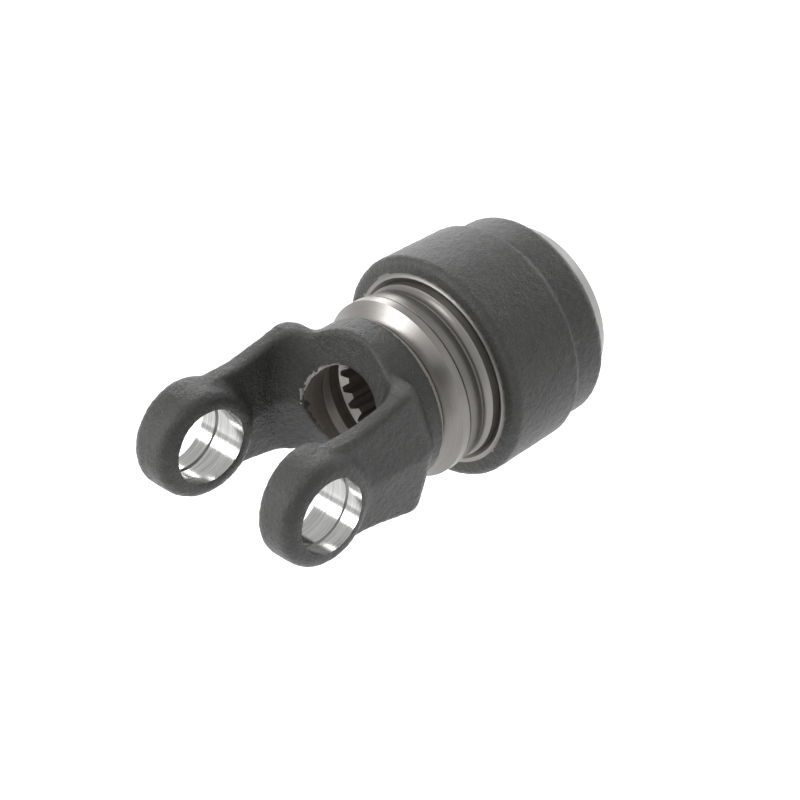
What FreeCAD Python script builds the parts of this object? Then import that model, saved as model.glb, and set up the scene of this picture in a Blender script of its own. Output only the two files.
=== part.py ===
import FreeCAD, Part
import math
import os

# Driveline clutch yoke with a spring-loaded slide collar, in millimetres.
# Origin: where the axis of the cross bores meets the driveline axis.
# +X runs along the driveline from the ears to the splined mouth, +Z is up and +Y is to the left.

# ---- splined bore: 20 involute teeth with a 30 degree pressure angle ----
spline_teeth = 20
spline_pitch_radius = 21.17
spline_tooth_height = 1.07      # teeth reach this far inside the pitch circle
spline_space_depth = 1.13       # spaces reach this far outside the pitch circle
spline_pressure_angle = 30.0
spline_start = 66.4
tooth_chamfer = 2.4
mouth_chamfer = 3.0
pilot_step = 0.6                # how much smaller than the teeth the entry bore is
relief_step = 0.5               # how much larger than the spaces the relief is
relief_length = 4.9
relief_cone = 6.5

# ---- ears and cross bores ----
bearing_radius = 15.1           # bearing cups of 30.2 mm
eye_wall = 6.8
eye_outer_round = 5.6
eye_inner_round = 4.6
ear_outer = 42.2                # machined outer face, from the driveline axis
ear_inner = 21.8                # forged inner face, measured at the bore axis
ear_draft = 7.0                 # lean of the inner face, degrees
clip_groove_inset = 7.6         # middle of the clip groove, behind the outer face
clip_groove_width = 1.9
clip_groove_depth = 0.8

# ---- arms and crotch, drafted from the parting plane z = 0 ----
boss_step_outside = 2.2         # the eye stands proud of the arm, outside and inside
boss_step_inside = 3.6
arm_draft = 10.0
arm_inner_draft = 7.5
arm_edge_drop = 0.5             # how far the arm stays below the top of the eye
base_rise = 5.0                 # how much taller than the arm the block is
flare_start = 22.0              # where the arms begin to widen
flare_end = 46.0
base_thickness = 11.5
base_corner = 8.0
crotch_floor = 47.5             # at the parting plane
crotch_draft = 12.0
crotch_corner = 13.0
crotch_sweep = 60.0             # radius of the middle of the floor
outer_round = 3.0
inner_round = 2.0

# ---- hub outside ----
band_start = 73.8
band_length = 3.4
band_line_width = 0.7
band_line_depth = 0.8
notch_cone = 4.3                # length of the bright cone in front of the band
neck_wall = 7.4                 # metal under the bottom of the notch
shoulder_height = 3.3           # forged shoulder above the bottom of the notch
shoulder_slope = 4.0
shoulder_lap = 3.5              # how far the shoulder reaches into the block
hub_wall = 8.7                  # metal under the spring and the balls
spring_room = 4.3               # height of the guide land above that
band_step = 0.6                 # band above the guide land
waist_drop = 0.4                # turned surface behind the band, below the guide land
dip_depth = 0.9
dip_length = 5.4
guide_lead = 2.5                # guide land in front of the collar
guide_lap = 3.7                 # guide land under the collar
tail_wall = 6.1
tail_inset = 1.4                # shoulder for the stop ring, behind the collar

# ---- locking balls ----
ball_count = 3
ball_radius = 7.0
ball_setback = 30.7             # behind the front of the collar
ball_reach = 1.3                # how far a seated ball stands inside the teeth
ball_free_gap = 0.1             # clears the shaft when lifted
ball_seat_slack = 1.0           # how much deeper the seat lets a ball drop
ball_clearance = 0.1

# ---- slide collar ----
collar_front = 92.3
collar_travel = 9.0
collar_length = 52.9
grip_length = 34.2
collar_wall = 9.69              # at the front
grip_taper = 1.2                # how much smaller the grip is at its rear
collar_front_round = 3.1
grip_step = 3.2                 # step down behind the grip
grip_step_length = 3.0
collar_rear_round = 4.3
lip_chamfer_width = 1.74
lip_chamfer_depth = 0.9
lip_inset = 0.45                # rough front face behind the turned lip
lip_face = 1.0
land_step = 1.2                 # narrowest ring, above the hub
land_width = 1.6
recess_gap = 0.5                # above the lifted balls
recess_lead = 2.4               # flat pocket behind the lifted balls
recess_slope = 4.4
rear_bore_step = 2.0
rear_guide_length = 4.2
running_clearance = 0.06

# ---- spring and its follower ----
wire_radius = 1.3
spring_turns = 3.5
spring_bore_clearance = 0.6
spring_end_gap = 0.05
follower_thickness = 2.4
follower_clearance = 0.08
follower_collar_gap = 0.05

# ---- stop ring and snap ring ----
stop_front_step = 3.3           # below the rear of the collar
stop_rear_wall = 4.5
stop_fit = 0.05
stop_end_gap = 0.05
snap_setback = 2.4
snap_thickness = 1.6
snap_bite = 1.4                 # depth of its groove
snap_height = 2.6               # how far the ring stands out of the groove
snap_bottom_gap = 0.2
snap_pocket_gap = 0.7
snap_gap = 0.05
snap_opening = 9.0
hub_lip = 1.5                   # metal behind the snap ring

# ---- places and radii that follow from the values above ----
spline_minor_radius = spline_pitch_radius - spline_tooth_height
spline_major_radius = spline_pitch_radius + spline_space_depth
pilot_radius = spline_minor_radius - pilot_step
relief_radius = spline_major_radius + relief_step
relief_start = spline_start - relief_length
pilot_end = relief_start - relief_cone

eye_radius = bearing_radius + eye_wall
clip_groove_offset = ear_outer - clip_groove_inset
arm_outer = ear_outer - boss_step_outside
arm_inner = ear_inner + boss_step_inside
arm_half_height = eye_radius - arm_edge_drop
base_half_height = arm_half_height + base_rise
base_rear = crotch_floor + base_thickness

slide_radius = spline_major_radius + hub_wall
guide_radius = slide_radius + spring_room
guide_start = collar_front - guide_lead
guide_end = collar_front + guide_lap
band_end = band_start + band_length
band_radius = guide_radius + band_step
waist_radius = guide_radius - waist_drop
waist_end = guide_start - dip_length
neck_radius = spline_major_radius + neck_wall
neck_position = band_start - notch_cone
shoulder_radius = neck_radius + shoulder_height
shoulder_end = neck_position - shoulder_slope
tail_radius = spline_major_radius + tail_wall

ball_position = collar_front + ball_setback
ball_locked_depth = spline_minor_radius - ball_reach
ball_rest_radius = ball_locked_depth + ball_radius
ball_lift = spline_major_radius + ball_free_gap - ball_locked_depth

collar_rear = collar_front + collar_length
collar_bore_radius = guide_radius + running_clearance
collar_front_radius = collar_bore_radius + collar_wall
grip_end = collar_front + grip_length
grip_radius = collar_front_radius - grip_taper
flange_radius = grip_radius - grip_step
rear_guide_radius = slide_radius + running_clearance
rear_bore_radius = slide_radius + rear_bore_step
land_radius = slide_radius + land_step
recess_radius = ball_rest_radius + ball_lift + ball_radius + recess_gap
recess_end = ball_position + collar_travel + recess_lead
ramp_slope = ball_lift / collar_travel
ramp_angle = math.atan(ramp_slope)
ramp_radius_at_ball = ball_rest_radius + (ball_radius + ball_clearance) / math.cos(ramp_angle)
ramp_start = ball_position - (ramp_radius_at_ball - land_radius) / ramp_slope
ramp_end = ball_position + (recess_radius - ramp_radius_at_ball) / ramp_slope
land_start = ramp_start - land_width
follower_start = land_start - follower_thickness

tail_start = collar_rear + tail_inset
snap_start = tail_start + snap_setback
hub_end = snap_start + snap_thickness + hub_lip
stop_front_radius = flange_radius - stop_front_step
stop_rear_radius = tail_radius + stop_rear_wall
snap_groove_radius = tail_radius - snap_bite
snap_inner_radius = snap_groove_radius + snap_bottom_gap
snap_radius = tail_radius + snap_height
snap_pocket_radius = snap_radius + snap_pocket_gap

X_AXIS = FreeCAD.Vector(1, 0, 0)
Y_AXIS = FreeCAD.Vector(0, 1, 0)
Z_AXIS = FreeCAD.Vector(0, 0, 1)
ORIGIN = FreeCAD.Vector(0, 0, 0)
REACH = 2 * ear_outer           # past every outer surface of the forging
DEPTH = ear_outer               # taller than half of the forging


def at(x, y, z):
    return FreeCAD.Vector(x, y, z)


def line(start, end):
    return Part.LineSegment(start, end).toShape()


def arc(start, middle, end):
    return Part.Arc(start, middle, end).toShape()


def loop(points):
    """Closed wire of straight edges through the points."""
    return Part.makePolygon(points + points[:1])


def turned(profile):
    """Body of revolution about X from a closed profile of (x, radius) pairs."""
    wire = loop([at(x, radius, 0) for x, radius in profile])
    return Part.Face(wire).revolve(ORIGIN, X_AXIS, 360)


def turned_edges(edges):
    """Body of revolution about X from the edges of a closed profile in the XY plane."""
    return Part.Face(Part.Wire(edges)).revolve(ORIGIN, X_AXIS, 360)


def both_halves(upper):
    """The drafted upper half and its mirror image below the parting plane."""
    return upper.fuse(upper.mirror(ORIGIN, Z_AXIS)).removeSplitter()


def rise(angle, height):
    """How far a face with that draft has moved at a height above the parting plane."""
    return height * math.tan(math.radians(angle))


def tapered_box(front, rear_low, rear_high, side_low, side_high):
    """Box from the parting plane to DEPTH above it, whose rear and sides lean with their draft."""
    body = Part.makeWedge(front, 0, -side_low, -side_high, front, rear_low, DEPTH, side_low, side_high, rear_high)
    body.rotate(ORIGIN, X_AXIS, 90)
    return body


# ---------------------------------------------------------------- yoke forging

def arm_side_view():
    """Side view of the upper half, narrow at the eyes and flared towards the root."""
    middle_x = (flare_start + flare_end) / 2
    middle_z = arm_half_height + base_rise * 0.42
    top = [at(0, -REACH, arm_half_height), at(flare_start, -REACH, arm_half_height),
           at(middle_x, -REACH, middle_z), at(flare_end, -REACH, base_half_height),
           at(REACH, -REACH, base_half_height), at(REACH, -REACH, 0), at(0, -REACH, 0)]
    wire = Part.Wire([
        line(top[0], top[1]),
        arc(top[1], top[2], top[3]),
        line(top[3], top[4]),
        line(top[4], top[5]),
        line(top[5], top[6]),
        line(top[6], top[0]),
    ])
    return Part.Face(wire).extrude(Y_AXIS * (2 * REACH))


def arms():
    """Solid block of both arms, with its rear corners and its top edge rounded."""
    inward = rise(arm_draft, DEPTH)
    upper = tapered_box(0, base_rear, base_rear - inward, arm_outer, arm_outer - inward)
    upper = upper.common(arm_side_view())
    corners = [edge for edge in upper.Edges
               if edge.BoundBox.ZLength > arm_half_height and edge.BoundBox.XMin > flare_end]
    upper = upper.makeFillet(base_corner, corners)
    rim = [edge for edge in upper.Edges
           if edge.BoundBox.ZMin > arm_half_height - 0.1
           and (edge.BoundBox.XLength > 0.1 or edge.BoundBox.XMin > flare_end + 1)]
    return both_halves(upper.makeFillet(outer_round, rim))


def crotch():
    """Space between the arms, with a swept floor and rounded corners."""
    upper = tapered_box(-REACH, REACH, REACH, arm_inner, arm_inner + rise(arm_inner_draft, DEPTH))
    middle = crotch_floor - crotch_sweep
    floor = Part.makeCone(crotch_sweep, crotch_sweep + rise(crotch_draft, DEPTH), DEPTH,
                          at(middle, 0, 0), Z_AXIS)
    front = Part.makeBox(REACH + middle, 2 * REACH, DEPTH, at(-REACH, -REACH, 0))
    upper = upper.common(floor.fuse(front)).removeSplitter()
    corners = [edge for edge in upper.Edges
               if edge.BoundBox.ZLength > DEPTH - 1 and edge.BoundBox.XMin > 0
               and abs(edge.BoundBox.YMin) > crotch_corner]
    return both_halves(upper.makeFillet(crotch_corner, corners))


def shoulder():
    """Forged shoulder between the block and the notch in front of the machined band."""
    start = crotch_floor - shoulder_lap
    return turned([(start, 0), (start, shoulder_radius), (shoulder_end, shoulder_radius),
                   (neck_position, neck_radius), (neck_position, 0)])


def eye(side):
    """Boss around one cross bore, with a leaning inner face and rounded edges."""
    boss = Part.makeCylinder(eye_radius, ear_outer, ORIGIN, Y_AXIS * side)
    inside = Part.makeBox(4 * REACH, REACH, 4 * REACH, at(-2 * REACH, -REACH, -2 * REACH))
    inside.translate(at(0, ear_inner, 0))
    inside.rotate(at(0, ear_inner, 0), Z_AXIS, -ear_draft)
    if side < 0:
        inside = inside.mirror(ORIGIN, Y_AXIS)
    boss = boss.cut(inside)
    outer = [edge for edge in boss.Edges if edge.BoundBox.YLength < 0.1 and edge.Length > 100]
    boss = boss.makeFillet(eye_outer_round, outer)
    inner = [edge for edge in boss.Edges if edge.Length > 100
             and edge.BoundBox.YLength > 2 and edge.BoundBox.YLength < 2 * eye_radius * 0.3]
    return boss.makeFillet(eye_inner_round, inner)


def rounded_arms():
    """Arms with the crotch cut out and the inner edges along its rim rounded."""
    space = crotch()
    body = arms().cut(space)
    walls = Part.Compound(space.Faces)
    rim = []
    for edge in body.Edges:
        level = min(abs(edge.BoundBox.ZMin), abs(edge.BoundBox.ZMax))
        length = edge.LastParameter - edge.FirstParameter
        spots = [Part.Vertex(edge.valueAt(edge.FirstParameter + length * share)) for share in (0.1, 0.5, 0.9)]
        on_wall = all(walls.distToShape(spot)[0] < 0.001 for spot in spots)
        if on_wall and level > arm_half_height - 0.1:
            rim.append(edge)
    return body.makeFillet(inner_round, rim)


def hub_outside():
    """Turned outside of the hub, from the notch behind the forging to the splined mouth."""
    dip_middle = (waist_end + guide_start) / 2
    front = [(crotch_floor, 0), (crotch_floor, neck_radius), (neck_position, neck_radius),
             (band_start, band_radius), (band_end, band_radius),
             (band_end + band_line_width / 2, band_radius - band_line_depth),
             (band_end + band_line_width, band_radius),
             (waist_end, waist_radius)]
    rear = [(guide_start, guide_radius), (guide_end, guide_radius), (guide_end, slide_radius),
            (tail_start, slide_radius), (tail_start, tail_radius), (hub_end, tail_radius), (hub_end, 0)]
    front_points = [at(x, radius, 0) for x, radius in front]
    rear_points = [at(x, radius, 0) for x, radius in rear]
    edges = [line(start, end) for start, end in zip(front_points, front_points[1:])]
    edges.append(arc(front_points[-1], at(dip_middle, waist_radius - dip_depth, 0), rear_points[0]))
    edges += [line(start, end) for start, end in zip(rear_points, rear_points[1:])]
    edges.append(line(rear_points[-1], front_points[0]))
    return turned_edges(edges)


def cross_bore():
    """Both bearing bores and the clip groove near the outer face of each ear."""
    tool = Part.makeCylinder(bearing_radius, 2 * REACH, at(0, -REACH, 0), Y_AXIS)
    for side in (1, -1):
        centre = side * (clip_groove_offset - clip_groove_width / 2)
        groove = Part.makeCylinder(bearing_radius + clip_groove_depth, clip_groove_width,
                                   at(0, centre, 0), Y_AXIS * side)
        tool = tool.fuse(groove)
    return tool


def shaft_bore():
    """Entry bore, relief behind it and the lead-in chamfers at both ends of the spline."""
    return turned([(REACH / 4, 0), (REACH / 4, pilot_radius), (pilot_end, pilot_radius),
                   (relief_start, relief_radius), (spline_start, relief_radius),
                   (spline_start + tooth_chamfer, spline_minor_radius),
                   (hub_end - mouth_chamfer, spline_minor_radius),
                   (hub_end, spline_minor_radius + mouth_chamfer),
                   (hub_end + mouth_chamfer, spline_minor_radius + 2 * mouth_chamfer),
                   (hub_end + mouth_chamfer, 0)])


def tooth_space_half_angle(radius):
    """Half the angle of one tooth space, at a radius on its involute flank."""
    pressure = math.radians(spline_pressure_angle)
    base_radius = spline_pitch_radius * math.cos(pressure)
    local = math.acos(base_radius / radius)
    at_pitch = math.pi / (2 * spline_teeth)
    return at_pitch + (math.tan(pressure) - pressure) - (math.tan(local) - local)


def spline_space():
    """Cutter for all the tooth spaces, with involute flanks."""
    steps = 4
    depth = spline_major_radius - spline_minor_radius
    radii = [spline_minor_radius + depth * step / steps for step in range(steps + 1)]

    def point(radius, angle):
        return at(spline_start - 1, radius * math.cos(angle), radius * math.sin(angle))

    pitch = 2 * math.pi / spline_teeth
    edges = []
    for tooth in range(spline_teeth):
        centre = tooth * pitch
        rising = [point(r, centre - tooth_space_half_angle(r)) for r in radii]
        falling = [point(r, centre + tooth_space_half_angle(r)) for r in reversed(radii)]
        next_start = point(radii[0], centre + pitch - tooth_space_half_angle(radii[0]))
        for flank in (rising, falling):
            curve = Part.BSplineCurve()
            curve.interpolate(flank)
            edges.append(curve.toShape())
        edges.append(arc(rising[-1], point(radii[-1], centre), falling[0]))
        edges.append(arc(falling[-1], point(radii[0], centre + pitch / 2), next_start))
    wire = Part.Wire(Part.__sortEdges__(edges))
    return Part.Face(wire).extrude(X_AXIS * (hub_end - spline_start + 2))


def ball_direction(index):
    angle = math.radians(90 + 360 * index / ball_count)
    return at(0, math.cos(angle), math.sin(angle))


def ball_pocket(index):
    """Radial hole whose narrowed inner end keeps its ball from falling into the bore."""
    direction = ball_direction(index)
    seat = at(ball_position, 0, 0) + direction * (ball_rest_radius - ball_seat_slack)
    radius = ball_radius + ball_clearance
    return Part.makeSphere(radius, seat).fuse(Part.makeCylinder(radius, 2 * ball_radius, seat, direction))


def ring(inner, outer, start, end):
    """Plain ring about the driveline axis."""
    body = Part.makeCylinder(outer, end - start, at(start, 0, 0), X_AXIS)
    return body.cut(Part.makeCylinder(inner, end - start + 2, at(start - 1, 0, 0), X_AXIS))


def snap_groove():
    return ring(snap_groove_radius, slide_radius + 5, snap_start - snap_gap,
                snap_start + snap_thickness + snap_gap)


def yoke_forging():
    body = shoulder().fuse(hub_outside()).cut(crotch())
    body = body.fuse([rounded_arms(), eye(1), eye(-1)])
    cutters = [shaft_bore(), cross_bore(), snap_groove()]
    cutters += [ball_pocket(index) for index in range(ball_count)]
    for cutter in cutters:
        body = body.cut(cutter)
    return body.cut(spline_space())


# ---------------------------------------------------------------- lock parts

def slide_collar():
    """Gripping collar with the guide bore, spring chamber, ball ramp and pocket inside."""
    turn = collar_front_round * (1 - math.sqrt(0.5))
    rear_turn = collar_rear_round * (1 - math.sqrt(0.5))
    front_face = collar_front + lip_inset
    lip_radius = collar_bore_radius + lip_chamfer_width
    lip_start = at(collar_front + lip_chamfer_depth, collar_bore_radius, 0)
    lip_edge = at(collar_front, lip_radius, 0)
    lip_foot = at(front_face, lip_radius + lip_face, 0)
    round_start = at(front_face, collar_front_radius - collar_front_round, 0)
    round_middle = at(front_face + turn, collar_front_radius - turn, 0)
    round_end = at(front_face + collar_front_round, collar_front_radius, 0)
    grip = at(grip_end, grip_radius, 0)
    step = at(grip_end + grip_step_length, flange_radius, 0)
    rear_start = at(collar_rear - collar_rear_round, flange_radius, 0)
    rear_middle = at(collar_rear - rear_turn, flange_radius - rear_turn, 0)
    rear_end = at(collar_rear, flange_radius - collar_rear_round, 0)
    outside = [line(lip_start, lip_edge), line(lip_edge, lip_foot), line(lip_foot, round_start),
               arc(round_start, round_middle, round_end), line(round_end, grip), line(grip, step),
               line(step, rear_start), arc(rear_start, rear_middle, rear_end)]
    guide = collar_rear - rear_guide_length
    inside = [rear_end, at(collar_rear, rear_guide_radius, 0), at(guide, rear_guide_radius, 0),
              at(guide, rear_bore_radius, 0), at(recess_end + recess_slope, rear_bore_radius, 0),
              at(recess_end, recess_radius, 0), at(ramp_end, recess_radius, 0), at(ramp_start, land_radius, 0),
              at(land_start, land_radius, 0), at(land_start, collar_bore_radius, 0), lip_start]
    return turned_edges(outside + [line(start, end) for start, end in zip(inside, inside[1:])])


def follower_washer():
    return ring(slide_radius + follower_clearance, collar_bore_radius - follower_clearance,
                follower_start, land_start - follower_collar_gap)


def spring():
    """Coil spring with ground ends between the guide land and the follower washer."""
    start = guide_end
    length = follower_start - guide_end
    centre = slide_radius + spring_bore_clearance + wire_radius
    pitch = (length - 2 * wire_radius) / spring_turns
    path = Part.makeHelix(pitch, length - 2 * wire_radius, centre)
    path.rotate(ORIGIN, Y_AXIS, 90)
    path.translate(at(start + wire_radius, 0, 0))
    first = path.Edges[0].valueAt(path.Edges[0].FirstParameter)
    heading = path.Edges[0].tangentAt(path.Edges[0].FirstParameter)
    section = Part.Wire(Part.makeCircle(wire_radius - spring_end_gap, first, heading))
    return Part.Wire(path.Edges).makePipeShell([section], True, True)


def locking_ball(index):
    centre = at(ball_position, 0, 0) + ball_direction(index) * ball_rest_radius
    return Part.makeSphere(ball_radius, centre)


def stop_ring():
    """Tapered ring that closes the rear of the collar and hides the snap ring."""
    front = collar_rear + stop_end_gap
    inner_front = slide_radius + stop_fit
    inner_rear = tail_radius + stop_fit
    step = tail_start + stop_fit
    pocket = snap_start - snap_gap
    return turned([(front, inner_front), (front, stop_front_radius), (hub_end, stop_rear_radius),
                   (hub_end, snap_pocket_radius), (pocket, snap_pocket_radius), (pocket, inner_rear),
                   (step, inner_rear), (step, inner_front)])


def snap_ring():
    """Open wire ring in the groove at the end of the hub."""
    body = ring(snap_inner_radius, snap_radius, snap_start, snap_start + snap_thickness)
    gap = Part.makeBox(2 * snap_thickness, snap_opening, REACH,
                       at(snap_start - snap_thickness / 2, -snap_opening / 2, -REACH))
    return body.cut(gap)


if __name__ == "__main__":
    os.makedirs("parts", exist_ok=True)
    yoke_forging().exportStep("parts/yoke_forging.step")
    slide_collar().exportStep("parts/slide_collar.step")
    follower_washer().exportStep("parts/follower_washer.step")
    spring().exportStep("parts/spring.step")
    stop_ring().exportStep("parts/stop_ring.step")
    snap_ring().exportStep("parts/snap_ring.step")
    for index in range(ball_count):
        locking_ball(index).exportStep("parts/locking_ball_%d.step" % (index + 1))
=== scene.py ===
"""Studio scene of a driveline yoke with a slide collar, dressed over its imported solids."""
import logging
import math
from dataclasses import dataclass, field
from enum import Enum
from typing import Callable, Sequence, Union

import bpy
from mathutils import Matrix, Vector, noise


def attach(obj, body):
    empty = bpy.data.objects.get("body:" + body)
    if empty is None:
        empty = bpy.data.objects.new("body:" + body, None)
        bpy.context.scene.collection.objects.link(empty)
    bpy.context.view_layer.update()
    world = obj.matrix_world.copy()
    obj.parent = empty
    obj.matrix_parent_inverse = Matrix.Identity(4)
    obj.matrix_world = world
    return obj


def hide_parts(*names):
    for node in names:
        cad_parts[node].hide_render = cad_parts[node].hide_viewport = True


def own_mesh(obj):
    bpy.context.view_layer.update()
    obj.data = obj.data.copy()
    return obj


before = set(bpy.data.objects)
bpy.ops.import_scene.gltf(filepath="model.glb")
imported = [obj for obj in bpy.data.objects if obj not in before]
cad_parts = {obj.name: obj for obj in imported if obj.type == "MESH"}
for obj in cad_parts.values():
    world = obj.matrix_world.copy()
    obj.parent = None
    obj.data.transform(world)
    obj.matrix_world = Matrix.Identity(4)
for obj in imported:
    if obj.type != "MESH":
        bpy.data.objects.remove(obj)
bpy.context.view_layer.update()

log = logging.getLogger("yoke")
MM = 0.001                # the frame is in metres
MERGE_GAP = 0.002 * MM
ARC_STEP = 0.6            # length of one step of a rounded corner, in millimetres
FEWEST_ARC_STEPS = 3
Place = tuple[float, float]
Colour = tuple[float, float, float, float]
Socket = bpy.types.NodeSocket
Number = Union[Socket, float]
Tint = Union[Socket, Sequence[float]]
PlaceTest = Callable[[Vector], bool]
FaceTest = Callable[[Vector, Vector], bool]


class NodeMath(Enum):
    """The arithmetic that the finishes use."""

    ADD = "ADD"
    MULTIPLY = "MULTIPLY"
    MAXIMUM = "MAXIMUM"


class Graph:
    """A material's node tree, with short calls for the nodes that the finishes need."""

    def __init__(self, name: str) -> None:
        """Starts an empty material.

        Args:
            name: name of the material.
        """
        self.material = bpy.data.materials.new(name)
        self.material.use_nodes = True
        self.tree = self.material.node_tree
        self.tree.nodes.clear()
        self.output = self.tree.nodes.new("ShaderNodeOutputMaterial")
        self.place = self.tree.nodes.new("ShaderNodeTexCoord").outputs["Object"]

    def link(self, source: Socket, target: Socket) -> None:
        """Joins two sockets."""
        self.tree.links.new(source, target)

    def feed(self, target: Socket, value: Union[Number, Tint]) -> None:
        """Links a socket, or sets its own value.

        Args:
            target: socket to feed.
            value: another node's socket, a number or a colour.
        """
        if isinstance(value, Socket):
            self.link(value, target)
        else:
            target.default_value = value

    def math(self, kind: NodeMath, first: Number, second: Number) -> Socket:
        """Adds one arithmetic node.

        Args:
            kind: operation.
            first: first operand.
            second: second operand.

        Returns:
            The node's value.
        """
        node = self.tree.nodes.new("ShaderNodeMath")
        node.operation = kind.value
        self.feed(node.inputs[0], first)
        self.feed(node.inputs[1], second)
        return node.outputs[0]

    def step(self, value: Socket, span: Place) -> Socket:
        """Rises smoothly from 0 to 1.

        Args:
            value: what is compared.
            span: where it starts to rise and where it is full.

        Returns:
            The rise, from 0 to 1.
        """
        node = self.tree.nodes.new("ShaderNodeMapRange")
        node.interpolation_type = "SMOOTHSTEP"
        self.link(value, node.inputs["Value"])
        node.inputs["From Min"].default_value = span[0]
        node.inputs["From Max"].default_value = span[1]
        return node.outputs["Result"]

    def noise(self, size: float, detail: float = 3.0, roughness: float = 0.5,
              stretch: Sequence[float] = (1.0, 1.0, 1.0)) -> Socket:
        """Adds a noise pattern.

        Args:
            size: size of its largest features, in metres.
            detail: how many finer layers it has.
            roughness: how strong the finer layers are.
            stretch: how much finer it is along X, Y and Z.

        Returns:
            The pattern, from 0 to 1.
        """
        mapping = self.tree.nodes.new("ShaderNodeMapping")
        self.link(self.place, mapping.inputs["Vector"])
        mapping.inputs["Scale"].default_value = stretch
        node = self.tree.nodes.new("ShaderNodeTexNoise")
        self.link(mapping.outputs[0], node.inputs["Vector"])
        node.inputs["Scale"].default_value = 1.0 / size
        node.inputs["Detail"].default_value = detail
        node.inputs["Roughness"].default_value = roughness
        return node.outputs["Fac"]

    def blend(self, share: Number, first: Tint, second: Tint) -> Socket:
        """Mixes two colours.

        Args:
            share: how much of the second colour shows.
            first: colour at 0.
            second: colour at 1.

        Returns:
            The mixed colour.
        """
        node = self.tree.nodes.new("ShaderNodeMix")
        node.data_type = "RGBA"
        self.feed(node.inputs[0], share)
        self.feed(node.inputs[6], first)
        self.feed(node.inputs[7], second)
        return node.outputs[2]

    def product(self, first: Socket, second: Socket) -> Socket:
        """Multiplies two colours.

        Args:
            first: one colour.
            second: the other colour.

        Returns:
            The darker colour that they give.
        """
        node = self.tree.nodes.new("ShaderNodeMix")
        node.data_type = "RGBA"
        node.blend_type = "MULTIPLY"
        node.inputs[0].default_value = 1.0
        self.link(first, node.inputs[6])
        self.link(second, node.inputs[7])
        return node.outputs[2]

    def lerp(self, share: Socket, first: Number, second: Number) -> Socket:
        """Mixes two numbers, as blend does colours.

        Args:
            share: how much of the second number counts.
            first: number at 0.
            second: number at 1.

        Returns:
            The mixed number.
        """
        node = self.tree.nodes.new("ShaderNodeMix")
        self.feed(node.inputs[0], share)
        self.feed(node.inputs[2], first)
        self.feed(node.inputs[3], second)
        return node.outputs[0]

    def bump(self, height: Socket, depth: float, under: Union[Socket, None] = None) -> Socket:
        """Turns a height into a normal.

        Args:
            height: pattern, from 0 to 1.
            depth: height of the pattern, in metres.
            under: normal that it is laid over.

        Returns:
            The normal.
        """
        node = self.tree.nodes.new("ShaderNodeBump")
        node.inputs["Distance"].default_value = depth
        self.link(height, node.inputs["Height"])
        if under is not None:
            self.link(under, node.inputs["Normal"])
        return node.outputs[0]

    def surface(self) -> bpy.types.Node:
        """Adds the shader and joins it to the output.

        Returns:
            The shader's node.
        """
        shader = self.tree.nodes.new("ShaderNodeBsdfPrincipled")
        self.link(shader.outputs[0], self.output.inputs["Surface"])
        return shader


class Axis(Enum):
    """The two axes that the yoke's round parts turn about."""

    DRIVELINE = (1.0, 0.0, 0.0)
    CROSS = (0.0, 1.0, 0.0)


class Join(Enum):
    """How one solid is put to another."""

    ADD = "UNION"
    CUT = "DIFFERENCE"


@dataclass(frozen=True)
class Corner:
    """A corner of a turned outline: its place along the axis, its radius and its rounding. Millimetres."""

    along: float
    radius: float
    rounding: float = 0.0


def rounded_outline(corners: Sequence[Corner], longest: float = 0.0) -> list[Place]:
    """Rounds the corners of a closed outline and divides its long runs.

    Args:
        corners: corners in order round the outline.
        longest: longest run that is left whole, in millimetres, or 0 to leave all.

    Returns:
        The outline's points, closed by a repeat of the first.
    """
    points: list[Vector] = []
    for index, corner in enumerate(corners):
        here = Vector((corner.along, corner.radius))
        if corner.rounding == 0.0:
            points.append(here)
            continue
        before, after = corners[index - 1], corners[(index + 1) % len(corners)]
        back = (Vector((before.along, before.radius)) - here).normalized()
        ahead = (Vector((after.along, after.radius)) - here).normalized()
        half = back.angle(ahead) / 2
        middle = here + (back + ahead).normalized() * corner.rounding / math.sin(half)
        start = here + back * corner.rounding / math.tan(half) - middle
        end = here + ahead * corner.rounding / math.tan(half) - middle
        steps = max(FEWEST_ARC_STEPS, round(corner.rounding * (math.pi - 2 * half) / ARC_STEP))
        first = math.atan2(start.y, start.x)
        sweep = math.remainder(math.atan2(end.y, end.x) - first, 2 * math.pi)
        for step in range(steps + 1):
            angle = first + sweep * step / steps
            points.append(middle + Vector((math.cos(angle), math.sin(angle))) * corner.rounding)
    points.append(points[0])
    outline = [points[0]]
    for start, end in zip(points, points[1:]):
        count = max(1, math.ceil((end - start).length / longest)) if longest else 1
        outline += [start.lerp(end, step / count) for step in range(1, count + 1)]
    return [(point.x, point.y) for point in outline]


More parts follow.
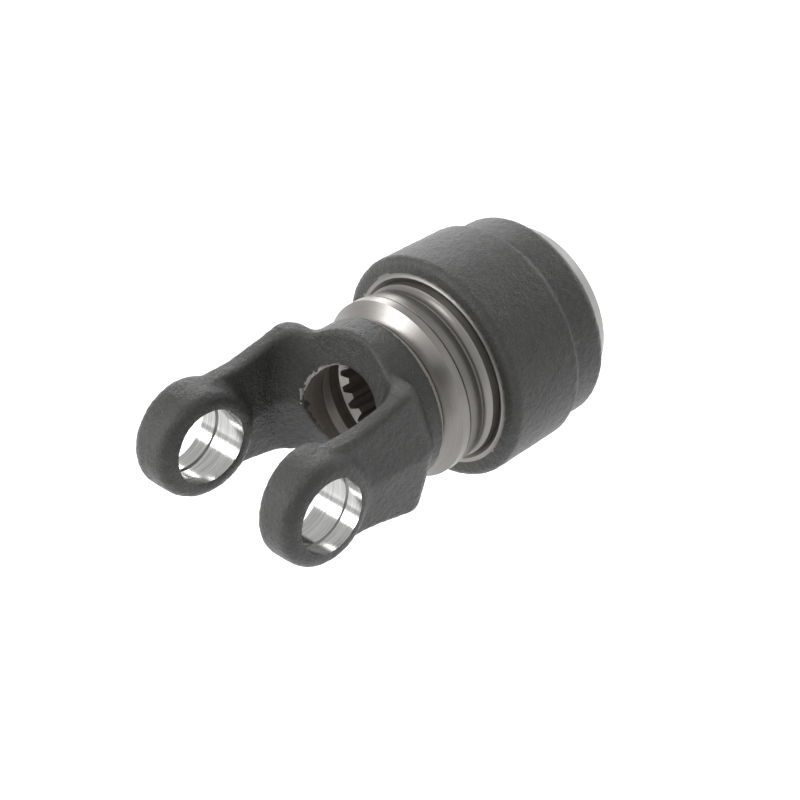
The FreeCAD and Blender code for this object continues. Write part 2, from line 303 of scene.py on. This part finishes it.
class Workshop:
    """Modelling steps, each done with Blender's own operators."""

    @staticmethod
    def only(piece: bpy.types.Object) -> None:
        """Selects one piece and makes it the active one.

        Args:
            piece: what is selected.
        """
        bpy.ops.object.select_all(action="DESELECT")
        piece.select_set(True)
        bpy.context.view_layer.objects.active = piece

    @classmethod
    def copy_node(cls, node: str, name: str) -> bpy.types.Object:
        """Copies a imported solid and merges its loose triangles.

        Args:
            node: name of the solid.
            name: name of the copy.

        Returns:
            The copy.
        """
        piece = bpy.data.objects.new(name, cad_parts[node].data.copy())
        bpy.context.scene.collection.objects.link(piece)
        piece.data.materials.clear()
        cls.only(piece)
        bpy.ops.mesh.customdata_custom_splitnormals_clear()
        bpy.ops.object.mode_set(mode="EDIT")
        bpy.ops.mesh.select_all(action="SELECT")
        bpy.ops.mesh.remove_doubles(threshold=MERGE_GAP)
        bpy.ops.object.mode_set(mode="OBJECT")
        return piece

    @classmethod
    def lathe(cls, name: str, outline: Sequence[Place], axis: Axis, steps: int) -> bpy.types.Object:
        """Turns a closed outline about an axis.

        Args:
            name: name of the piece.
            outline: places along the axis and radii, in millimetres.
            axis: what it turns about.
            steps: divisions of the turn.

        Returns:
            The turned solid.
        """
        spots = [Vector((along, 0.0, radius)) * MM for along, radius in outline]
        if axis is Axis.CROSS:
            spots = [Vector((spot.z, spot.x, 0.0)) for spot in spots]
        bpy.ops.object.select_all(action="DESELECT")
        bpy.ops.mesh.primitive_plane_add(size=MM)
        piece = bpy.context.object
        piece.name = name
        bpy.ops.object.mode_set(mode="EDIT")
        bpy.ops.mesh.select_all(action="SELECT")
        bpy.ops.mesh.merge(type="CENTER")
        bpy.ops.transform.translate(value=spots[0])
        for here, there in zip(spots, spots[1:]):
            bpy.ops.mesh.extrude_region_move(TRANSFORM_OT_translate={"value": there - here})
        bpy.ops.mesh.select_all(action="SELECT")
        bpy.ops.mesh.spin(steps=steps, angle=2 * math.pi, center=(0.0, 0.0, 0.0), axis=axis.value)
        bpy.ops.mesh.select_all(action="SELECT")
        bpy.ops.mesh.remove_doubles(threshold=MERGE_GAP)
        bpy.ops.mesh.normals_make_consistent(inside=False)
        bpy.ops.object.mode_set(mode="OBJECT")
        return piece

    @classmethod
    def modify(cls, piece: bpy.types.Object, kind: str, **settings: object) -> None:
        """Adds a modifier and applies it.

        Args:
            piece: what it works on.
            kind: type of the modifier.
            settings: its settings.
        """
        modifier = piece.modifiers.new(kind.lower(), kind)
        for name, value in settings.items():
            setattr(modifier, name, value)
        cls.only(piece)
        bpy.ops.object.modifier_apply(modifier=modifier.name)

    @classmethod
    def fill_corners(cls, piece: bpy.types.Object, radius: float, voxel: float) -> None:
        """Rounds the inner corners of a solid, by swelling it and shrinking it back.

        Args:
            piece: solid, or overlapping solids that become one.
            radius: radius of the corners, in metres.
            voxel: size of the new faces, in metres.
        """
        cls.modify(piece, "REMESH", mode="VOXEL", voxel_size=voxel)
        for direction in (1, -1):
            cls.modify(piece, "SMOOTH", factor=0.5, iterations=2)
            for _ in range(2):
                cls.modify(piece, "DISPLACE", strength=direction * radius / 2, mid_level=0.0)
                cls.modify(piece, "REMESH", mode="VOXEL", voxel_size=voxel)

    @classmethod
    def combine(cls, piece: bpy.types.Object, tool: bpy.types.Object, join: Join) -> None:
        """Adds or cuts one closed solid, and removes the tool.

        Args:
            piece: solid that stays.
            tool: solid that is added or cut away.
            join: which of the two.
        """
        cls.modify(piece, "BOOLEAN", operation=join.value, solver="MANIFOLD", object=tool)
        cls.only(tool)
        bpy.ops.object.delete()

    @classmethod
    def pit(cls, piece: bpy.types.Object, size: float, depth: float, test: PlaceTest) -> None:
        """Raises and sinks a surface in soft bumps, along its normals.

        Args:
            piece: what is pitted.
            size: size of the bumps, in metres.
            depth: height from the lowest to the highest, in metres.
            test: says of a place whether it is pitted.
        """
        group = piece.vertex_groups.new(name="skin")
        group.add([vertex.index for vertex in piece.data.vertices if test(vertex.co)], 1.0, "REPLACE")
        clouds = bpy.data.textures.new("bumps", "CLOUDS")
        clouds.noise_scale = size
        clouds.noise_depth = 2
        cls.modify(piece, "DISPLACE", texture=clouds, strength=depth, mid_level=0.5, vertex_group="skin")
        piece.vertex_groups.clear()
        bpy.data.textures.remove(clouds)

    @staticmethod
    def dress(piece: bpy.types.Object, base: "Finish",
              areas: "Sequence[tuple[Finish, FaceTest]]" = ()) -> None:
        """Gives a piece its finishes.

        Args:
            piece: what is dressed.
            base: finish of every face that no area takes.
            areas: each other finish, with a test of a face's middle and normal.
        """
        materials = piece.data.materials
        materials.clear()
        for finish in [base] + [area[0] for area in areas]:
            materials.append(finish.material())
        for face in piece.data.polygons:
            face.material_index = 0
            for number, (_, test) in enumerate(areas, 1):
                if test(face.center, face.normal):
                    face.material_index = number

    @classmethod
    def finish(cls, piece: bpy.types.Object, body: str, node: str, slot: str, sharp: float) -> None:
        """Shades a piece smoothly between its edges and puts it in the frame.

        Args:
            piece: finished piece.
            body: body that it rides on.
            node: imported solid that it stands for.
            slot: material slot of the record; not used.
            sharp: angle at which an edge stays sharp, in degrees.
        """
        cls.only(piece)
        bpy.ops.object.shade_smooth_by_angle(angle=math.radians(sharp))
        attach(piece, body)
        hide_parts(node)
        log.info("%s: %d faces", piece.name, len(piece.data.polygons))


@dataclass(frozen=True)
class Skin:
    """Dark oiled skin that a forging or casting comes out of its mould with."""

    name: str
    low: Colour = (0.026, 0.026, 0.0245, 1.0)
    high: Colour = (0.040, 0.040, 0.038, 1.0)
    tone_span: Place = (0.35, 0.72)
    dull: Colour = (0.86, 0.86, 0.86, 1.0)
    bright: Colour = (1.08, 1.08, 1.07, 1.0)
    shade_span: Place = (0.3, 0.7)
    patch: float = 7.0 * MM
    grain: float = 0.9 * MM
    grain_depth: float = 0.45 * MM
    dust: float = 0.35 * MM
    dust_depth: float = 0.05 * MM
    specular: float = 0.42
    roughness: Place = (0.30, 0.48)

    def material(self) -> bpy.types.Material:
        """Makes the material.

        Returns:
            The material.
        """
        graph = Graph(self.name)
        coarse = graph.noise(self.grain, detail=4.0, roughness=0.6)
        broad = graph.noise(self.patch)
        fine = graph.noise(self.dust, detail=2.0)
        tone = graph.blend(graph.step(coarse, self.tone_span), self.low, self.high)
        shade = graph.blend(graph.step(broad, self.shade_span), self.dull, self.bright)
        shader = graph.surface()
        graph.link(graph.product(tone, shade), shader.inputs["Base Color"])
        graph.link(graph.lerp(coarse, self.roughness[1], self.roughness[0]), shader.inputs["Roughness"])
        shader.inputs["Specular IOR Level"].default_value = self.specular
        under = graph.bump(coarse, self.grain_depth)
        graph.link(graph.bump(fine, self.dust_depth, under), shader.inputs["Normal"])
        return graph.material


@dataclass(frozen=True)
class Turned:
    """Bare steel with the fine rings that a cutting tool leaves."""

    name: str
    light: Colour
    dark: Colour
    roughness: float
    axis: Axis = Axis.DRIVELINE
    pitch: float = 0.30 * MM
    ring_depth: float = 0.004 * MM
    streak: float = 0.0
    metallic: float = 1.0
    streak_width: float = 6.0
    round_stretch: float = 0.02
    patch: float = 4.0 * MM
    ring_share: float = 0.5
    ring_span: Place = (0.38, 0.62)
    smoothest: float = 0.85
    swing: float = 0.3

    def material(self) -> bpy.types.Material:
        """Makes the material.

        Returns:
            The material.
        """
        graph = Graph(self.name)
        stretch = [1.0 if share == 1.0 else self.round_stretch for share in self.axis.value]
        rings = graph.noise(self.pitch, detail=2.0, roughness=0.6, stretch=stretch)
        wide = graph.noise(self.pitch * self.streak_width, detail=2.0, roughness=0.6, stretch=stretch)
        patch = graph.noise(self.patch, roughness=0.6)
        worn = graph.math(NodeMath.ADD, graph.math(NodeMath.MULTIPLY, rings, self.ring_share),
                          graph.math(NodeMath.MULTIPLY, wide, 1.0 - self.ring_share))
        shader = graph.surface()
        tone = graph.blend(graph.step(worn, self.ring_span), self.light, self.dark)
        graph.link(tone, shader.inputs["Base Color"])
        rough = graph.math(NodeMath.ADD, graph.math(NodeMath.MULTIPLY, patch, self.swing), self.smoothest)
        graph.link(graph.math(NodeMath.MULTIPLY, rough, self.roughness), shader.inputs["Roughness"])
        shader.inputs["Metallic"].default_value = self.metallic
        height = graph.bump(rings, self.ring_depth)
        if self.streak > 0.0:
            height = graph.bump(wide, self.streak, height)
        graph.link(height, shader.inputs["Normal"])
        return graph.material


class Finish(Enum):
    """The finishes of this yoke."""

    FORGED = Skin("forged_steel_skin")
    CAST = Skin("cast_collar_skin")
    BEARING_BORE = Turned(
        "bored_bright_steel", (0.44, 0.44, 0.435, 1.0), (0.30, 0.30, 0.295, 1.0), 0.17,
        axis=Axis.CROSS, pitch=0.14 * MM, streak=0.008 * MM)
    HUB = Turned(
        "turned_hub_steel", (0.215, 0.206, 0.195, 1.0), (0.188, 0.181, 0.172, 1.0), 0.36,
        ring_depth=0.002 * MM)
    ENTRY = Turned(
        "bored_brown_steel", (0.190, 0.164, 0.144, 1.0), (0.148, 0.128, 0.113, 1.0), 0.45, metallic=0.2)
    # cut steel painted lighter than the bored steel beside it: a painted highlight on the front-facing cone,
    # tooth chamfers and notch slope
    CONE = Turned(
        "countersunk_steel_painted_highlight", (0.50, 0.48, 0.45, 1.0), (0.38, 0.36, 0.34, 1.0), 0.32, metallic=0.6)
    LIP = Turned(
        "turned_lip_steel", (0.25, 0.243, 0.232, 1.0), (0.15, 0.144, 0.137, 1.0), 0.42, pitch=0.9 * MM)
    RING = Turned("turned_ring_steel", (0.20, 0.195, 0.190, 1.0), (0.165, 0.16, 0.155, 1.0), 0.36)
    WIRE = Turned("spring_wire_steel", (0.16, 0.16, 0.17, 1.0), (0.12, 0.12, 0.13, 1.0), 0.36)
    BALL = Turned(
        "polished_ball_steel", (0.62, 0.62, 0.63, 1.0), (0.58, 0.58, 0.59, 1.0), 0.10,
        pitch=2.0 * MM, ring_depth=0.001 * MM)

    def material(self) -> bpy.types.Material:
        """Makes the finish's material once, and then returns the same one."""
        return bpy.data.materials.get(self.value.name) or self.value.material()


def off_driveline(place: Vector) -> float:
    """Distance from the driveline axis, in millimetres."""
    return math.hypot(place.y, place.z) / MM


def off_cross(place: Vector) -> float:
    """Distance from the axis of the cross bores, in millimetres."""
    return math.hypot(place.x, place.z) / MM


def inward(place: Vector, normal: Vector) -> float:
    """How squarely a face looks at the driveline axis: 1 straight at it, 0 along it, -1 away from it."""
    return -(normal.y * place.y + normal.z * place.z) / (off_driveline(place) * MM)


@dataclass
class YokeForging:
    """Forged yoke: a soft pitted skin up to the notch, bored ears, and a turned and splined hub behind.

    Millimetres.
    """

    # forged skin
    voxel: float = 0.66
    die_fillet: float = 3.0
    soften: int = 5
    bump_size: float = 1.9
    bump_depth: float = 0.44
    wave_size: float = 6.0
    wave_depth: float = 0.17
    skin_end: float = 69.5
    # bearing bores
    bearing_radius: float = 15.1
    ear_outer: float = 42.2
    ear_inner: float = 21.8
    clip_groove: float = 34.6
    clip_width: float = 1.9
    clip_depth: float = 0.8
    # bore along the driveline, and the notch behind the forging
    entry_radius: float = 19.5
    entry_end: float = 55.0
    relief_start: float = 61.5
    relief_radius: float = 22.8
    spline_start: float = 66.4
    tooth_chamfer: float = 2.6
    notch_length: float = 3.6
    # painted highlight on the ragged rim of the entry bore, only past its corner toward +X, +Y and +Z
    rim_highlight_width: float = 1.0
    rim_highlight_swing: float = 1.2
    rim_highlight_size: float = 1.8
    rim_highlight_corner: tuple[float, float, float] = (44.0, 6.0, -2.0)
    # plugs that shut the bores while the skin is made
    plug_start: float = 52.5
    plug_overlap: float = 1.0
    ear_plug_overlap: float = 1.2
    ear_plug_inset: float = 0.9
    ear_plug_recess: float = 0.1
    # room for the splined core, and the core that overlaps it, from the relief's start and wall
    room_start: float = 1.5
    room_wall: float = 2.2
    core_start: float = 1.0
    core_wall: float = 3.2
    # how far the cutters reach
    shaft_tool_ends: Place = (30.0, 80.0)
    reach: float = 60.0
    reach_round: float = 90.0
    reach_behind: float = 200.0
    # where a face counts as skin, bore, cone or notch
    skin_margin: float = 1.0
    margin: float = 0.05
    bore_margin: float = 0.03
    groove_margin: float = 0.01
    ear_side: float = 10.0
    crotch_depth: float = 40.0
    facing_axis: float = 0.8
    facing_back: float = 0.30
    facing_front: float = -0.35
    cone_lean: Place = (0.5, 0.95)
    cone_slope: float = 0.2
    # edges and divisions of a turn
    sharp: float = 32.0
    plug_steps: int = 64
    rear_steps: int = 48
    bore_steps: int = 240

    def skin(self) -> bpy.types.Object:
        """Makes the skin's solid, with its bores still shut.

        Returns:
            The solid, from the ears to the notch.
        """
        piece = Workshop.copy_node("yoke_forging", "yoke_forged")
        rear = self.drum(self.skin_end, self.reach_behind, self.reach)
        Workshop.combine(piece, Workshop.lathe("rear", rear, Axis.DRIVELINE, self.rear_steps), Join.CUT)
        plugs = [self.shaft_plug()] + [self.ear_plug(side) for side in (1, -1)]
        Workshop.only(piece)
        for plug in plugs:
            plug.select_set(True)
        bpy.ops.object.join()
        Workshop.fill_corners(piece, self.die_fillet * MM, self.voxel * MM)
        Workshop.modify(piece, "SMOOTH", factor=0.5, iterations=self.soften)
        Workshop.pit(piece, self.wave_size * MM, self.wave_depth * MM, self.on_skin)
        Workshop.pit(piece, self.bump_size * MM, self.bump_depth * MM, self.on_skin)
        return piece

    @staticmethod
    def drum(start: float, end: float, radius: float) -> list[Place]:
        """Outline of a plain round plug between two places along its axis."""
        return [(start, 0.0), (start, radius), (end, radius), (end, 0.0), (start, 0.0)]

    def on_skin(self, place: Vector) -> bool:
        """Says whether the forging die shaped a place."""
        return place.x < (self.skin_end - self.skin_margin) * MM

    def shaft_plug(self) -> bpy.types.Object:
        """Shuts the bore along the driveline."""
        outline = self.drum(self.plug_start, self.skin_end, self.relief_radius + self.plug_overlap)
        return Workshop.lathe("shaft_plug", outline, Axis.DRIVELINE, self.plug_steps)

    def ear_plug(self, side: int) -> bpy.types.Object:
        """Shuts the bearing bore of one ear.

        Args:
            side: 1 for the left ear, -1 for the right one.

        Returns:
            The plug.
        """
        start = side * (self.ear_inner + self.ear_plug_inset)
        end = side * (self.ear_outer - self.ear_plug_recess)
        outline = self.drum(start, end, self.bearing_radius + self.ear_plug_overlap)
        return Workshop.lathe("ear_plug", outline, Axis.CROSS, self.plug_steps)

    def cross_tool(self) -> bpy.types.Object:
        """Makes the cutter for both bearing bores and their clip grooves.

        Returns:
            The cutter.
        """
        half = [(self.reach, self.bearing_radius)]
        for edge in (self.clip_groove + self.clip_width / 2, self.clip_groove - self.clip_width / 2):
            outer = edge > self.clip_groove
            radii = (self.bearing_radius, self.bearing_radius + self.clip_depth)
            half += [(edge, radius) for radius in (radii if outer else radii[::-1])]
        other = [(-along, radius) for along, radius in reversed(half)]
        outline = [(self.reach, 0.0)] + half + other + [(-self.reach, 0.0), (self.reach, 0.0)]
        return Workshop.lathe("cross_tool", outline, Axis.CROSS, self.bore_steps)

    def shaft_tool(self) -> bpy.types.Object:
        """Makes the cutter for the entry bore, its cone and the room for the splined core.

        Returns:
            The cutter.
        """
        start, end = self.shaft_tool_ends
        room, wall = self.relief_start + self.room_start, self.relief_radius + self.room_wall
        outline = [(start, 0.0), (start, self.entry_radius), (self.entry_end, self.entry_radius),
                   (self.relief_start, self.relief_radius), (room, self.relief_radius), (room, wall),
                   (end, wall), (end, 0.0), (start, 0.0)]
        return Workshop.lathe("shaft_tool", outline, Axis.DRIVELINE, self.bore_steps)

    def hub(self) -> bpy.types.Object:
        """Makes the hub's solid: the turned outside behind the notch, and the splined core inside the skin.

        Returns:
            The solid.
        """
        piece = Workshop.copy_node("yoke_forging", "hub")
        core, wall = self.relief_start + self.core_start, self.relief_radius + self.core_wall
        outline = [(-self.reach, 0.0), (-self.reach, self.reach_round), (self.skin_end, self.reach_round),
                   (self.skin_end, wall), (core, wall), (core, 0.0), (-self.reach, 0.0)]
        Workshop.combine(piece, Workshop.lathe("front", outline, Axis.DRIVELINE, self.bore_steps), Join.CUT)
        return piece

    def build(self) -> None:
        """Models the forging and dresses it."""
        piece = self.skin()
        Workshop.combine(piece, self.cross_tool(), Join.CUT)
        Workshop.combine(piece, self.shaft_tool(), Join.CUT)
        Workshop.combine(piece, self.hub(), Join.ADD)
        Workshop.dress(piece, Finish.FORGED, (
            (Finish.BEARING_BORE, self.on_bearing_bore), (Finish.HUB, self.on_hub),
            # the cone, tooth chamfers and notch slope take steel painted lighter, as a painted highlight
            (Finish.ENTRY, self.in_shaft_bore), (Finish.CONE, self.on_cone),
            # the lip steel on the entry bore's rim is a painted highlight, only on its side toward +Y and +Z
            (Finish.CONE, self.on_notch), (Finish.LIP, self.on_painted_rim_highlight)))
        Workshop.finish(piece, "yoke", "yoke_forging", "forged_steel", self.sharp)

    def on_bearing_bore(self, place: Vector, normal: Vector) -> bool:
        """Says whether a face is in a bearing bore or its clip groove.

        Args:
            place: middle of the face.
            normal: which way it faces; not used.

        Returns:
            Whether it is.
        """
        along = abs(place.y) / MM
        in_groove = abs(along - self.clip_groove) < self.clip_width / 2 + self.groove_margin
        deepest = self.bearing_radius + self.clip_depth if in_groove else self.bearing_radius
        return off_cross(place) < deepest + self.bore_margin and along > self.ear_side

    def on_hub(self, place: Vector, normal: Vector) -> bool:
        """Says whether a face is on the hub behind the notch."""
        return place.x / MM > self.skin_end - self.margin

    def in_shaft_bore(self, place: Vector, normal: Vector) -> bool:
        """Says whether a face is inside the entry bore, the relief or the spline.

        Args:
            place: middle of the face.
            normal: which way it faces.

        Returns:
            Whether it is.
        """
        front = place.x / MM < self.entry_end
        limit = self.entry_radius if front else self.relief_radius
        within = place.x / MM > self.crotch_depth and off_driveline(place) < limit + self.margin
        return within and (inward(place, normal) > self.facing_axis or not front)

    def on_notch(self, place: Vector, normal: Vector) -> bool:
        """Says whether a face is where the notch was turned into the back of the forging; these faces take a
        painted highlight.
        """
        return place.x / MM > self.skin_end - self.notch_length and normal.x > self.facing_back

    def on_painted_rim_highlight(self, place: Vector, normal: Vector) -> bool:
        """Says whether a face takes the painted highlight on the ragged rim where the drill broke through
        the floor, only on its side toward +Y and +Z.

        Args:
            place: middle of the face.
            normal: which way it faces.

        Returns:
            Whether it is.
        """
        ragged = self.rim_highlight_swing * noise.noise(place / (self.rim_highlight_size * MM))
        at_edge = off_driveline(place) < self.entry_radius + self.rim_highlight_width + ragged
        in_corner = all(spot > limit * MM for spot, limit in zip(place, self.rim_highlight_corner))
        return in_corner and at_edge and normal.x < self.facing_front

    def on_cone(self, place: Vector, normal: Vector) -> bool:
        """Says whether a face is on the cone behind the entry bore, or on a chamfered tooth end; these faces
        take a painted highlight.

        Args:
            place: middle of the face.
            normal: which way it faces.

        Returns:
            Whether it is.
        """
        least, most = self.cone_lean
        slanted = least < inward(place, normal) < most and abs(normal.x) > self.cone_slope
        in_bore = off_driveline(place) < self.relief_radius + self.margin
        return slanted and in_bore and self.entry_end < place.x / MM < self.spline_start + self.tooth_chamfer


@dataclass
class SlideCollar:
    """Cast collar: rough grip outside, turned lip and bores inside. Millimetres."""

    # outside, from the front to the rear
    front: float = 92.3
    length: float = 52.9
    bore: float = 35.36
    lip: float = 37.1
    lip_chamfer: float = 0.9
    lip_face: float = 38.1
    lip_inset: float = 0.45
    grip: float = 45.05
    grip_round: float = 3.1
    grip_end: float = 126.5
    grip_rear: float = 43.85
    grip_rear_round: float = 1.6
    step_length: float = 3.0
    step_round: float = 2.0
    rear: float = 40.65
    rear_round: float = 4.3
    # inside, from the rear to the front
    guide: float = 31.06
    guide_length: float = 4.2
    rear_bore: float = 33.0
    rear_bore_start: float = 138.8
    pocket: float = 36.9
    pocket_end: float = 134.4
    ramp_end: float = 131.63
    ramp_start: float = 119.88
    land: float = 32.2
    land_start: float = 118.28
    # where the cast skin ends
    skin_start: float = 38.25
    turned_end: float = 38.9
    rear_edge: float = 0.2
    ragged_size: float = 4.0
    ragged_swing: float = 0.5
    # mesh and bumps
    sharp: float = 30.0
    steps: int = 400
    longest: float = 0.72
    bump_size: float = 1.9
    bump_depth: float = 0.38
    wave_size: float = 7.0
    wave_depth: float = 0.13

    def outline(self) -> list[Place]:
        """Lays out the collar's section.

        Returns:
            The section's points.
        """
        end, face = self.front + self.length, self.front + self.lip_inset
        guide = end - self.guide_length
        outside = [Corner(self.front + self.lip_chamfer, self.bore), Corner(self.front, self.lip),
                   Corner(face, self.lip_face), Corner(face, self.grip, self.grip_round),
                   Corner(self.grip_end, self.grip_rear, self.grip_rear_round),
                   Corner(self.grip_end + self.step_length, self.rear, self.step_round),
                   Corner(end, self.rear, self.rear_round)]
        inside = [Corner(end, self.guide), Corner(guide, self.guide), Corner(guide, self.rear_bore),
                  Corner(self.rear_bore_start, self.rear_bore), Corner(self.pocket_end, self.pocket),
                  Corner(self.ramp_end, self.pocket), Corner(self.ramp_start, self.land),
                  Corner(self.land_start, self.land), Corner(self.land_start, self.bore)]
        return rounded_outline(outside + inside, self.longest)

    def on_skin(self, place: Vector) -> bool:
        """Says whether a place was left as it was cast."""
        return off_driveline(place) > self.skin_start and not self.on_rear(place)

    def on_turned(self, place: Vector, normal: Vector) -> bool:
        """Says whether a face was turned, which at the lip ends in a ragged line."""
        ragged = self.ragged_swing * noise.noise(place / (self.ragged_size * MM))
        return off_driveline(place) + ragged < self.turned_end or self.on_rear(place)

    def on_rear(self, place: Vector) -> bool:
        """Says whether a place is on the flat rear face."""
        return place.x / MM > self.front + self.length - self.rear_edge

    def build(self) -> None:
        """Models the collar and dresses it."""
        piece = Workshop.lathe("collar_cast", self.outline(), Axis.DRIVELINE, self.steps)
        Workshop.pit(piece, self.wave_size * MM, self.wave_depth * MM, self.on_skin)
        Workshop.pit(piece, self.bump_size * MM, self.bump_depth * MM, self.on_skin)
        Workshop.dress(piece, Finish.CAST, ((Finish.LIP, self.on_turned),))
        Workshop.finish(piece, "collar", "slide_collar", "cast_collar", self.sharp)


@dataclass(frozen=True)
class CoilSpring:
    """Coil between the hub's guide land and the follower washer, which shortens as the collar is pulled.

    Millimetres.
    """

    seat: float = 96.0
    travel: float = 9.0
    sharp: float = 40.0

    def build(self) -> None:
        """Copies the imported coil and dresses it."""
        piece = Workshop.copy_node("spring", "spring_coil")
        Workshop.dress(piece, Finish.WIRE)
        Workshop.finish(piece, "yoke", "spring", "spring_steel", self.sharp)
        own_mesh(piece)


@dataclass(frozen=True)
class LockParts:
    """Rings and balls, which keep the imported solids' shapes."""

    finishes: tuple[tuple[str, Finish], ...] = (
        ("stop_ring", Finish.RING), ("follower_washer", Finish.RING), ("snap_ring", Finish.WIRE),
        ("locking_ball_1", Finish.BALL), ("locking_ball_2", Finish.BALL),
        ("locking_ball_3", Finish.BALL))

    def build(self) -> None:
        """Dresses each of them."""
        for node, finish in self.finishes:
            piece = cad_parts[node]
            piece.data.materials.clear()
            piece.data.materials.append(finish.material())
            log.info("dressed %s with %s", node, finish.value.name)


@dataclass(frozen=True)
class Lamp:
    """A soft square lamp: where it hangs and its side, in metres, and its power, in watts."""

    name: str
    place: tuple[float, float, float]
    side: float
    power: float


@dataclass
class Studio:
    """Floor, lamps, world and camera."""

    floor_drop: float = 0.16
    floor_half: float = 6.0
    eye: Vector = field(default_factory=lambda: Vector((-1.0805, -1.2000, 1.1229)))
    right: Vector = field(default_factory=lambda: Vector((0.71022495, -0.70367959, -0.02038526)))
    up: Vector = field(default_factory=lambda: Vector((0.40684796, 0.38665627, 0.82763015)))
    lens: float = 242.4
    sensor: float = 36.0
    fill: float = 0.62
    floor_glow: float = 0.62
    floor_shade: Colour = (0.85, 0.85, 0.85, 1.0)
    aim: Vector = field(default_factory=lambda: Vector((0.07, 0.0, 0.0)))
    lamps: tuple[Lamp, ...] = (
        Lamp("key", (-0.1, 0.2, 1.5), 0.6, 6.0), Lamp("left", (1.05, 1.25, 0.50), 0.5, 6.0),
        Lamp("front", (-1.33, 0.90, 0.67), 0.65, 18.0), Lamp("rear", (1.75, 0.25, 0.42), 0.5, 5.0))

    def backdrop_rays(self, tree: bpy.types.NodeTree) -> Socket:
        """Adds the share that is 1 for rays that show the backdrop itself.

        Args:
            tree: node tree of the floor or the world.

        Returns:
            1 for camera, glossy and transmission rays, and 0 for the light on the part.
        """
        path = tree.nodes.new("ShaderNodeLightPath")
        value = path.outputs["Is Camera Ray"]
        for ray in ("Is Glossy Ray", "Is Transmission Ray"):
            node = tree.nodes.new("ShaderNodeMath")
            node.operation = NodeMath.MAXIMUM.value
            tree.links.new(value, node.inputs[0])
            tree.links.new(path.outputs[ray], node.inputs[1])
            value = node.outputs[0]
        return value

    def floor(self) -> None:
        """Lays the pale floor, whose own glow for the camera keeps it white around the shadow."""
        bpy.ops.object.select_all(action="DESELECT")
        bpy.ops.mesh.primitive_plane_add(size=2 * self.floor_half, location=(0.0, 0.0, -self.floor_drop))
        floor = bpy.context.object
        floor.name = "floor"
        bpy.ops.object.transform_apply(location=True)
        graph = Graph("pale_floor")
        tree = graph.tree
        diffuse = tree.nodes.new("ShaderNodeBsdfDiffuse")
        diffuse.inputs["Color"].default_value = self.floor_shade
        glow = tree.nodes.new("ShaderNodeEmission")
        strength = graph.math(NodeMath.MULTIPLY, self.backdrop_rays(tree), self.floor_glow)
        graph.link(strength, glow.inputs["Strength"])
        both = tree.nodes.new("ShaderNodeAddShader")
        graph.link(diffuse.outputs[0], both.inputs[0])
        graph.link(glow.outputs[0], both.inputs[1])
        graph.link(both.outputs[0], graph.output.inputs["Surface"])
        floor.data.materials.append(graph.material)

    def hang(self, lamp: Lamp) -> None:
        """Hangs one lamp so that it faces the part.

        Args:
            lamp: what is hung.
        """
        data = bpy.data.lights.new(lamp.name, "AREA")
        data.shape = "SQUARE"
        data.size = lamp.side
        data.energy = lamp.power
        hung = bpy.data.objects.new(lamp.name, data)
        bpy.context.scene.collection.objects.link(hung)
        hung.location = lamp.place
        heading = self.aim - Vector(lamp.place)
        hung.rotation_euler = heading.to_track_quat("-Z", "Y").to_euler()

    def world(self) -> None:
        """Surrounds the part with an even grey light, behind which the backdrop shows white."""
        world = bpy.data.worlds.new("studio")
        bpy.context.scene.world = world
        world.use_nodes = True
        tree = world.node_tree
        mix = tree.nodes.new("ShaderNodeMix")
        tree.links.new(self.backdrop_rays(tree), mix.inputs[0])
        mix.inputs[2].default_value = self.fill
        mix.inputs[3].default_value = 1.0
        tree.links.new(mix.outputs[0], tree.nodes["Background"].inputs["Strength"])
        tree.nodes["Background"].inputs["Color"].default_value = (1.0, 1.0, 1.0, 1.0)

    def camera(self) -> None:
        """Sets the camera at the catalogue view."""
        data = bpy.data.cameras.new("camera")
        data.lens = self.lens
        data.sensor_width = self.sensor
        camera = bpy.data.objects.new("camera", data)
        bpy.context.scene.collection.objects.link(camera)
        back = self.right.cross(self.up)
        turn = Matrix((self.right, self.up, back)).transposed().to_4x4()
        camera.matrix_world = Matrix.Translation(self.eye) @ turn
        bpy.context.scene.camera = camera

    def build(self) -> None:
        """Sets up the whole studio."""
        self.floor()
        self.world()
        for lamp in self.lamps:
            self.hang(lamp)
        self.camera()
        bpy.context.scene.view_settings.view_transform = "Standard"


def main() -> None:
    """Builds the sub-assemblies in order and lights them."""
    logging.basicConfig(level=logging.INFO)
    for assembly in (YokeForging(), SlideCollar(), CoilSpring(), LockParts(), Studio()):
        assembly.build()
        log.info("built %s", type(assembly).__name__)


if __name__ == "__main__":
    main()
